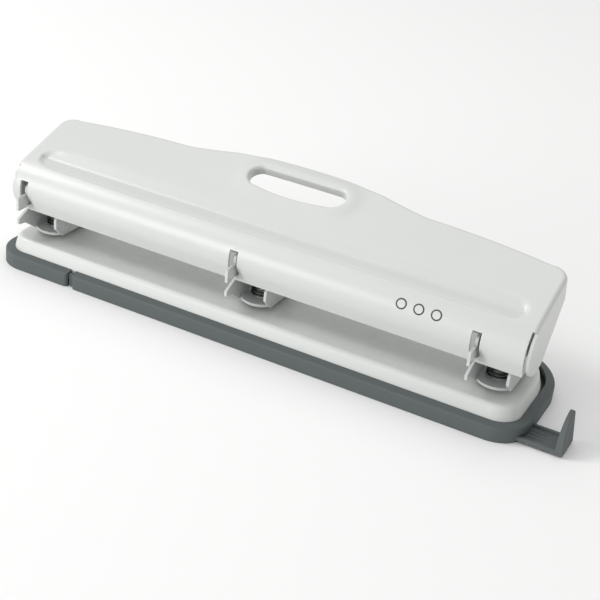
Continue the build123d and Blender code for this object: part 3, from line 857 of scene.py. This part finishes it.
    def add_slot(self, sheet: SheetMesh, block: np.ndarray) -> None:
        """Ring of rows from the hand slot's lip to the edge of the cells left out for it.

        The slot is a long oval whose lower edge bows down in the middle. Rows go up the lip's wall,
        round a quarter circle, and then straight to the points of the surrounding cells' edge.

        Args:
            sheet: Where the block goes.
            block: Places (rows, columns, 2) of the cells left out.
        """
        rim = np.concatenate([block[0, :-1], block[:-1, -1], block[-1, :0:-1], block[:0:-1, 0]])
        angle = np.linspace(0, 2 * np.pi, 721)[:-1]
        straight = self.slot_half_x - self.slot_half_u
        stretch = straight * np.clip(np.cos(angle) * 4, -1, 1)
        oval = np.stack([np.cos(angle) * self.slot_half_u + stretch,
                         np.sin(angle) * self.slot_half_u], 1)
        share = 1 - (oval[:, 0] / self.slot_half_x) ** 2
        bow = self.slot_bow * share * np.clip(-np.sin(angle), 0, 1)
        oval = np.stack([self.slot_x + oval[:, 0], self.slot_u + oval[:, 1] - bow], 1)
        unit = (oval - oval.mean(0)) / [22, 6.5]
        start = np.argmin(np.linalg.norm(unit - np.array([-0.8, -0.8]), axis=1))
        oval = np.roll(oval, -start, 0)
        oval = np.concatenate([oval, oval[:1]])
        steps = np.concatenate([rim, rim[:1]])
        length = np.concatenate([[0.0], np.cumsum(np.linalg.norm(np.diff(steps, axis=0), axis=1))])
        ring = resample(oval, length[:-1] / length[-1])
        outward = -left_normals(ring, closed=True)
        curl = np.linspace(0, np.pi / 2, 8)
        wall = np.linspace(self.slot_lip, self.slot_curl, 5)[:-1]
        out = np.concatenate([0 * wall, self.slot_curl * (1 - np.cos(curl))])
        down = np.concatenate([wall, self.slot_curl * (1 - np.sin(curl))])
        rows = ring[None] + out[:, None, None] * outward[None]
        share = np.linspace(0, 1, 9)[1:, None, None]
        flat = rows[-1][None] * (1 - share) + rim[None] * share
        places = np.concatenate([rows, flat])
        depth = np.concatenate([down, np.zeros(len(flat))])[:, None] * np.ones(len(rim))
        places = np.concatenate([places, places[:, :1]], 1)
        depth = np.concatenate([depth, depth[:, :1]], 1)
        height = self.relief(places[..., 0], places[..., 1]) - depth
        sheet.add(self.place(places[..., 0], places[..., 1], height))

    def add_sides(self, sheet: SheetMesh, w: np.ndarray, patch: np.ndarray) -> None:
        """Folded strip along both ends and the back, and the round front of the end flanges.

        Each border point goes outwards by r sin a and inwards by r (1 - cos a) through a quarter
        turn, then straight in to its depth: the return's depth at the back, the flange's edges at
        the ends, and the roll's centre round the roll. The fold stops a little way down the roll,
        and from there the flange is a sector about the roll's centre.

        Args:
            sheet: Where the blocks go.
            w: Rows of the straight grid.
            patch: Places of the panel's patch.
        """
        side_x = self.half_x - self.fold_r
        left = np.concatenate([np.stack([np.full_like(w, -side_x), w], 1), patch[1:, 0]])
        right = np.concatenate([np.stack([np.full_like(w, side_x), w], 1), patch[1:, -1]])
        border = np.concatenate([left, patch[-1, 1:-1], right[::-1]])
        out = left_normals(border)
        on_side = np.abs(np.abs(border[:, 0]) - side_x) < 1e-6
        out[on_side] = np.stack([np.sign(border[on_side, 0]), 0 * border[on_side, 0]], 1)
        u = border[:, 1]
        lower, back = self.side_low + 0.107 * u, self.side_back - self.side_slope * u
        heel = -self.side_round * np.logaddexp(-lower / self.side_round, -back / self.side_round)
        depth = np.where(u > 0, np.maximum(heel, self.return_depth), self.roll_r)
        turn = np.linspace(0, np.pi / 2, 7)[:, None]
        share = np.linspace(0, 1, 9)[1:, None]
        go_out = self.fold_r * np.concatenate([np.sin(turn), np.ones((8, 1))])
        go_in = np.concatenate([self.fold_r * (1 - np.cos(turn)) + 0 * u,
                                self.fold_r + share * (depth - self.fold_r)])
        places = border[None] + go_out[..., None] * out[None]
        along = np.where(u > self.straight_top, places[..., 1], u[None])
        fade = np.concatenate([np.ones((7, 1)), 1 - share])
        height = self.relief(border[:, 0], border[:, 1])[None] * fade - go_in
        fold_w = w[np.argmin(np.abs(w - self.fold_end))]
        kept = (u[:-1] >= fold_w - 1e-6) & (u[1:] >= fold_w - 1e-6)
        keep = np.broadcast_to(kept, (len(height) - 1, len(kept)))
        sheet.add(self.place(places[..., 0], along, height), keep)
        end_angle = math.radians(270 + self.panel_angle)
        angle = np.linspace(self.top_angle - fold_w / self.roll_r, end_angle, 60)
        wider = self.side_low - 2 * self.front_r - 1
        rim = self.front_r + wider * smooth_step(angle, 4.3, angle[-1])
        inner = np.linspace(0, self.roll_r - self.fold_r, 9)[:, None] + 0 * angle
        radius = np.concatenate([inner, rim[None]])
        for end in (-self.half_x, self.half_x):
            sheet.add(np.stack([np.full_like(radius, end), self.roll_y + radius * np.cos(angle),
                                self.roll_z + radius * np.sin(angle)], -1))


@dataclass
class Lever:
    """Everything that turns with the lever."""

    skin: LeverSkin
    mark_x: tuple[float, ...] = (68.0, 75.5, 83.0)
    mark_w: float = -10.5
    mark_r: float = 2.3
    mark_line: float = 0.6

    def mark_grid(self, x: float) -> np.ndarray:
        """One printed ring, laid on the roll: a flat band in (x, w) lifted by a hair's breadth."""
        angle = np.linspace(0, 2 * np.pi, 49)
        radius = np.array([self.mark_r - self.mark_line, self.mark_r, self.mark_r])[:, None]
        lift = np.array([0.02, 0.02, -0.02])[:, None] * np.ones_like(angle)
        w = self.mark_w + radius * np.sin(angle)
        return self.skin.place(x + radius * np.cos(angle), w, lift)

    def build(self) -> None:
        """Make the skin and the printed rings, and dress the rod and its bushes."""
        skin = dress(self.skin.build(), Finish.LEVER.made())
        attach(skin, Body.LEVER.value)
        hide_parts("handle")
        LOG.info("lever skin: %d faces", len(skin.data.polygons))
        for side in ("left", "right"):
            dress(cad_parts["rod_bush_" + side], Finish.BUSH.made())
        rings = SheetMesh()
        for x in self.mark_x:
            rings.add(self.mark_grid(x))
        mark = dress(rings.build("printed_rings"), Finish.PRINT.made())
        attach(mark, Body.LEVER.value)
        dress(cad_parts["press_rod"], Finish.ROD.made())


# ---- the heads -------------------------------------------------------------------------------
@dataclass
class PunchHead:
    """One punch head: bracket, die, pin, snap ring and return spring."""

    head: Head
    wire_r: float = 0.42
    low_r: float = 4.8
    high_r: float = 4.22
    coils: float = 6.4
    travel: float = 6.7

    def spring_path(self, x: float, y: float, low: float, high: float) -> np.ndarray:
        """Centre line of the conical coil: the radius shrinks evenly with height.

        The rise per turn is small over the first and the last turn, which lie closed, and even
        between them.
        """
        turn = np.linspace(0, self.coils, 420)
        share = np.interp(turn, [0, 1.0, 2.4, self.coils - 0.9, self.coils],
                          [0.0, 0.075, 0.29, 0.93, 1.0])
        radius = self.low_r + (self.high_r - self.low_r) * share
        angle = 2 * np.pi * turn
        z = low + (high - low) * share
        return np.stack([x + radius * np.cos(angle), y + radius * np.sin(angle), z], 1)

    def build(self) -> None:
        """Make the softened bracket and the spring, and dress the CAD pin, ring and die."""
        name = self.head.value
        bracket = softened("bracket_" + name, Body.BASE.value, Finish.BRACKET.made(), 0.22)
        low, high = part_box("pin_spring_" + name)
        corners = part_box("punch_pin_" + name)
        axis = (corners[0] + corners[1]) / 2 / MM
        path = self.spring_path(axis.x, axis.y, low.z / MM + self.wire_r, high.z / MM - self.wire_r)
        step = np.arange(len(path))
        taper = np.clip(np.minimum(step, step[::-1]) / 2.0, 0, 1) ** 0.5
        tube = tube_along(path, self.wire_r * taper, 12)
        spring = dress(SheetMesh().add(tube).build("coil_spring_" + name), Finish.SPRING.made())
        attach(spring, Body.BASE.value)
        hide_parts("pin_spring_" + name)
        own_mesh(spring)
        dress(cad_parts["punch_pin_" + name], Finish.PIN.made())
        dress(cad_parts["spring_clip_" + name], Finish.CLIP.made())
        dress(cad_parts["die_" + name], Finish.DIE.made())
        LOG.info("head %s", name)


# ---- base, tray and guide --------------------------------------------------------------------
@dataclass
class StandingParts:
    """The pressed base, the chip tray with its folding end, and the sliding guide."""

    tray_bevel: float = 0.25
    guide_bevel: float = 0.6

    def build(self) -> None:
        """Dress the base and soften the mouldings' edges."""
        dress(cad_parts["base_plate"], Finish.BASE.made())
        dress(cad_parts["bracket_rivets"], Finish.RIVET.made())
        dress(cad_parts["guide_spring"], Finish.LEAF.made())
        for node, body in (("chip_tray", Body.BASE), ("tray_door", Body.DOOR)):
            moulding = softened(node, body.value, Finish.TRAY.made(), self.tray_bevel)
            LOG.info("moulding %s", node)
        guide = softened("paper_guide", Body.GUIDE.value, Finish.GUIDE.made(), self.guide_bevel)


# ---- stage, light and camera -----------------------------------------------------------------
@dataclass
class Studio:
    """Plain pale floor, soft lights and the camera."""

    eye: tuple[float, float, float] = (0.21954, -0.44790, 0.27954)
    right: tuple[float, float, float] = (0.87964, 0.46510, 0.09961)
    up: tuple[float, float, float] = (-0.30081, 0.38174, 0.87395)
    back: tuple[float, float, float] = (0.36845, -0.79872, 0.47570)
    lens: float = 77.73

    def floor(self) -> None:
        """Round floor sheet far larger than the punch."""
        radius = np.array([0.0, 300.0, 1500.0, 6000.0])[:, None]
        angle = np.linspace(0, 2 * np.pi, 97)
        flat = 0 * radius + 0 * angle - 0.02
        grid = np.stack([radius * np.cos(angle), radius * np.sin(angle), flat], -1)
        sheet = SheetMesh().add(grid).build("floor_sheet", Vector((0, 0, 1)), Vector((200, 0, 0)))
        made = bpy.data.materials.new("floor_white")
        made.use_nodes = True
        shader = made.node_tree.nodes["Principled BSDF"]
        shader.inputs["Roughness"].default_value = 0.7
        shader.inputs["Base Color"].default_value = (0.93, 0.93, 0.925, 1)
        shader.inputs["Specular IOR Level"].default_value = 0.2
        dress(sheet, made)

    def area(self, name: str, place: Vector, aim: Vector, size: float, watts: float) -> None:
        """One square softbox looking at a point."""
        data = bpy.data.lights.new(name, "AREA")
        data.energy = watts
        data.size = size
        lamp = bpy.data.objects.new(name, data)
        lamp.location = place
        lamp.rotation_mode = "QUATERNION"
        lamp.rotation_quaternion = (aim - place).to_track_quat("-Z", "Y")
        bpy.context.scene.collection.objects.link(lamp)

    def build(self) -> None:
        """Set floor, sky, softboxes and camera."""
        self.floor()
        world = bpy.data.worlds.new("studio")
        world.use_nodes = True
        world.node_tree.nodes["Background"].inputs[0].default_value = (1, 1, 1, 1)
        world.node_tree.nodes["Background"].inputs[1].default_value = 0.64
        bpy.context.scene.world = world
        aim = Vector((0, 0, 0.03))
        self.area("key", Vector((-1.0, -0.45, 0.95)), aim, 0.5, 8.0)
        self.area("top", Vector((-0.2, 0.6, 1.4)), aim, 1.2, 3.5)
        self.area("front", Vector((-0.75, -1.3, 0.20)), aim, 0.7, 8.5)
        data = bpy.data.cameras.new("camera")
        data.lens = self.lens
        data.sensor_width = 36.0
        data.clip_start = 0.01
        data.clip_end = 50.0
        camera = bpy.data.objects.new("camera", data)
        axes = Matrix((self.right, self.up, self.back)).transposed().to_4x4()
        camera.matrix_world = Matrix.Translation(self.eye) @ axes
        bpy.context.scene.collection.objects.link(camera)
        bpy.context.scene.camera = camera
        bpy.context.scene.view_settings.view_transform = "Standard"


def main() -> None:
    """Build the punch's looks in order, logging the lever skin, each head and the tray mouldings."""
    logging.basicConfig(level=logging.INFO, format="%(name)s: %(message)s")
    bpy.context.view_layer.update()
    Lever(LeverSkin()).build()
    for head in Head:
        PunchHead(head).build()
    StandingParts().build()
    Studio().build()


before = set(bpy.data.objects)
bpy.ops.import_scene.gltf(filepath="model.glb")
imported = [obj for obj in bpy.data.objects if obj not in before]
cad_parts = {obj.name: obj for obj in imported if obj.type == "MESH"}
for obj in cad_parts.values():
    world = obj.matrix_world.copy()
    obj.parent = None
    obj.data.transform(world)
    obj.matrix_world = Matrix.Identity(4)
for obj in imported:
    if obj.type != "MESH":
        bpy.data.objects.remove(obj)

if __name__ == "__main__":
    main()
